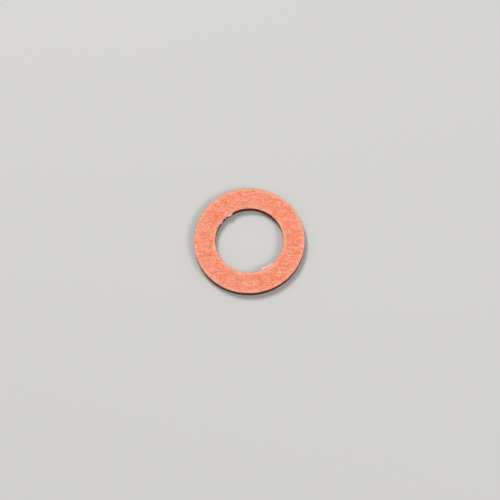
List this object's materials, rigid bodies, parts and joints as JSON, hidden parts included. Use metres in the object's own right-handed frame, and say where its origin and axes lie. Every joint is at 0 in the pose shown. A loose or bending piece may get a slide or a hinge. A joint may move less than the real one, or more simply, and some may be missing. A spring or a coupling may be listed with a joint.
{
  "type": "drain plug gasket",
  "caption": "Flat round gasket punched from red vulcanised fibre, with a plain bore and softly rolled upper edges, that seals under the head of a threaded drain plug.",
  "frame": {"origin": "on the bore's axis, in the plane of the underside that the ring rests on", "axes": "+Z along the bore, from the underside to the upper face with the rolled edges; X and Y lie in the underside, and no direction there differs from another"},
  "size_m": [0.02, 0.02, 0.0015],
  "materials": {
    "red_fibre": "matte"
  },
  "bodies": {
    "root": {"sealing_ring": "red_fibre"}
  },
  "joints": []
}
